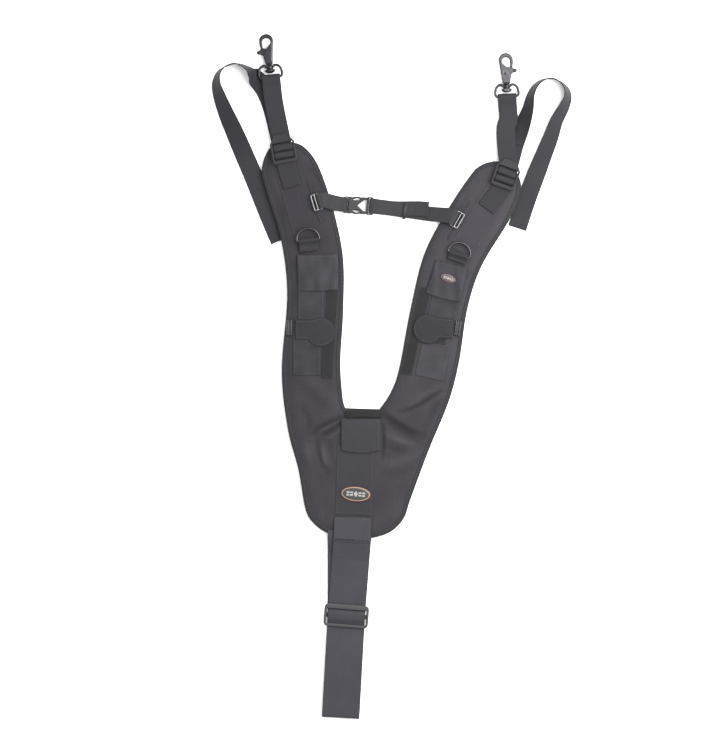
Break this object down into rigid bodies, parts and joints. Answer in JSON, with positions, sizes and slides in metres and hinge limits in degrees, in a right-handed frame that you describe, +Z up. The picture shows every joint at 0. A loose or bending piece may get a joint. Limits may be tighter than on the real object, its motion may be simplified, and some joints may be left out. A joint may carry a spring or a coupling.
{
  "type": "padded shoulder harness",
  "caption": "Padded Y-shaped shoulder harness with webbing straps ending in swivel snap hooks, a buckled chest strap, flaps, tabs and D-rings on the pads, and a rear belt loop with a slide.",
  "frame": {"origin": "on the table under the middle of the harness without its two free strap ends", "axes": "+X to the wearer's right strap as seen from above, +Y from the belt loop towards the snap hooks, +Z up off the table"},
  "size_m": [0.4692, 0.8916, 0.0245],
  "materials": {
    "face": "plain-woven coated nylon, charcoal",
    "lining": "knitted spacer mesh, black",
    "foam": "soft foam sheet, hidden between the face and the lining",
    "binding": "ribbed grosgrain, dark grey",
    "webbing": "flat-woven webbing, dark grey",
    "hook_pile": "hook-and-loop pile, near black",
    "patch": null,
    "plastic": "moulded acetal, black, satin",
    "gunmetal": "black nickel plate on die-cast zinc, glossy",
    "wire": "bent steel wire and plate, dark nickel"
  },
  "bodies": {
    "yoke": {"yoke_mesh_lining": "lining", "yoke_foam_core": "foam", "yoke_edge_binding": "binding", "yoke_front_panel": "face", "neck_haul_loop": "webbing", "centre_webbing": "webbing", "back_patch": "patch", "rear_tab": "webbing", "rear_strap": "webbing", "right_loop_patch": "hook_pile", "left_sternum_web": "webbing", "right_sternum_web": "webbing", "buckle_socket": "plastic", "left_anchor_tab": "webbing", "left_pad_strip": "webbing", "left_pocket_panel": "face", "left_lower_panel": "face", "left_grip_strip": "hook_pile", "left_slot_loop": "webbing", "left_d_ring_tab": "webbing", "left_sternum_rail": "binding", "left_strap_tail": "webbing", "right_anchor_tab": "webbing", "right_pad_strip": "webbing", "right_pocket_panel": "face", "right_lower_panel": "face", "right_grip_strip": "hook_pile", "right_slot_loop": "webbing", "right_d_ring_tab": "webbing", "right_sternum_rail": "binding", "right_strap_tail": "webbing"},
    "left_lock": {"left_ladder_lock": "plastic"},
    "left_strap": {"left_hook_strap": "webbing"},
    "left_eye": {"left_swivel_eye": "gunmetal"},
    "left_hook": {"left_hook_body": "gunmetal", "left_gate_pin": "gunmetal"},
    "left_gate": {"left_hook_gate": "gunmetal"},
    "left_ring": {"left_d_ring": "gunmetal"},
    "left_flap": {"left_pad_flap": "face"},
    "left_tab": {"left_round_tab": "face"},
    "left_clip": {"left_sternum_clip": "wire"},
    "right_lock": {"right_ladder_lock": "plastic"},
    "right_strap": {"right_hook_strap": "webbing"},
    "right_eye": {"right_swivel_eye": "gunmetal"},
    "right_hook": {"right_hook_body": "gunmetal", "right_gate_pin": "gunmetal"},
    "right_gate": {"right_hook_gate": "gunmetal"},
    "right_ring": {"right_d_ring": "gunmetal"},
    "right_flap": {"right_pad_flap": "face", "right_flap_patch": "patch"},
    "right_tab": {"right_round_tab": "face"},
    "right_clip": {"right_sternum_clip": "wire"},
    "neck_flap": {"neck_flap": "face"},
    "glide": {"tri_glide": "plastic"},
    "buckle_insert": {"buckle_insert": "plastic"},
    "keeper": {"web_keeper": "plastic"}
  },
  "joints": [
    {"name": "left_lock_tilt", "type": "hinge", "parent": "yoke", "child": "left_lock", "pos_m": [-0.1375, 0.2789, 0.0131], "axis": [0.9833, 0.1822, 0], "range_deg": [0, 40], "deforming": ["left_anchor_tab", "left_strap_tail"]},
    {"name": "left_strap_slide", "type": "slide", "parent": "left_lock", "child": "left_strap", "axis": [-0.1705, 0.9854, 0], "range_m": [-0.015, 0.015], "deforming": ["left_hook_strap"]},
    {"name": "left_eye_swing", "type": "hinge", "parent": "left_strap", "child": "left_eye", "pos_m": [-0.1569, 0.391, 0.007], "axis": [0.9936, 0.1132, 0], "range_deg": [0, 90]},
    {"name": "left_hook_swivel", "type": "hinge", "parent": "left_eye", "child": "left_hook", "pos_m": [-0.15832, 0.40342, 0.007], "axis": [-0.1132, 0.9936, 0], "continuous": true},
    {"name": "left_gate_open", "type": "hinge", "parent": "left_hook", "child": "left_gate", "pos_m": [-0.15969, 0.41987, 0.007], "axis": [0, 0, 1], "range_deg": [0, 22], "stiffness_Nm_per_rad": 0.02, "springref_deg": -20.05},
    {"name": "left_ring_swing", "type": "hinge", "parent": "yoke", "child": "left_ring", "pos_m": [-0.1082, 0.1784, 0.0156], "axis": [0.9962, 0.0872, 0], "range_deg": [0, 100]},
    {"name": "left_flap_lift", "type": "hinge", "parent": "yoke", "child": "left_flap", "pos_m": [-0.0967, 0.16, 0.0127], "axis": [-0.9997, -0.0262, 0], "range_deg": [0, 90]},
    {"name": "left_tab_lift", "type": "hinge", "parent": "yoke", "child": "left_tab", "pos_m": [-0.1251, 0.0625, 0.0127], "axis": [0, -1, 0], "range_deg": [0, 95]},
    {"name": "left_clip_slide", "type": "slide", "parent": "yoke", "child": "left_clip", "axis": [-0.2857, 0.9583, 0], "range_m": [-0.012, 0.012], "deforming": ["left_sternum_web"]},
    {"name": "right_lock_tilt", "type": "hinge", "parent": "yoke", "child": "right_lock", "pos_m": [0.1429, 0.2469, 0.0131], "axis": [0.9397, -0.342, 0], "range_deg": [0, 40], "deforming": ["right_anchor_tab", "right_strap_tail"]},
    {"name": "right_strap_slide", "type": "slide", "parent": "right_lock", "child": "right_strap", "axis": [0, 1, 0], "range_m": [-0.015, 0.015], "deforming": ["right_hook_strap"]},
    {"name": "right_eye_swing", "type": "hinge", "parent": "right_strap", "child": "right_eye", "pos_m": [0.1503, 0.366, 0.007], "axis": [0.9986, 0.0523, 0], "range_deg": [0, 90]},
    {"name": "right_hook_swivel", "type": "hinge", "parent": "right_eye", "child": "right_hook", "pos_m": [0.14965, 0.37848, 0.007], "axis": [-0.0523, 0.9986, 0], "continuous": true},
    {"name": "right_gate_open", "type": "hinge", "parent": "right_hook", "child": "right_gate", "pos_m": [0.14828, 0.39493, 0.007], "axis": [0, 0, -1], "range_deg": [0, 22], "stiffness_Nm_per_rad": 0.02, "springref_deg": -20.05},
    {"name": "right_ring_swing", "type": "hinge", "parent": "yoke", "child": "right_ring", "pos_m": [0.0872, 0.16, 0.0156], "axis": [0.9455, -0.3256, 0], "range_deg": [0, 100]},
    {"name": "right_flap_lift", "type": "hinge", "parent": "yoke", "child": "right_flap", "pos_m": [0.0781, 0.148, 0.0127], "axis": [-0.9659, 0.2588, 0], "range_deg": [0, 90]},
    {"name": "right_tab_lift", "type": "hinge", "parent": "yoke", "child": "right_tab", "pos_m": [0.0803, 0.0635, 0.0127], "axis": [0.0872, 0.9962, 0], "range_deg": [0, 95]},
    {"name": "right_clip_slide", "type": "slide", "parent": "yoke", "child": "right_clip", "axis": [0.5, 0.866, 0], "range_m": [-0.012, 0.012]},
    {"name": "neck_flap_lift", "type": "hinge", "parent": "yoke", "child": "neck_flap", "pos_m": [-0.0401, -0.0536, 0.0127], "axis": [-1, 0, 0], "range_deg": [0, 90]},
    {"name": "glide_slide", "type": "slide", "parent": "yoke", "child": "glide", "axis": [0.0785, 0.9969, 0], "range_m": [-0.02, 0.02], "deforming": ["rear_strap"]},
    {"name": "buckle_release", "type": "slide", "parent": "yoke", "child": "buckle_insert", "axis": [0.9986, -0.0523, 0], "range_m": [0, 0.028], "deforming": ["right_sternum_web"]},
    {"name": "keeper_slide", "type": "slide", "parent": "yoke", "child": "keeper", "axis": [0.9912, -0.1323, 0], "range_m": [-0.008, 0.014]}
  ]
}
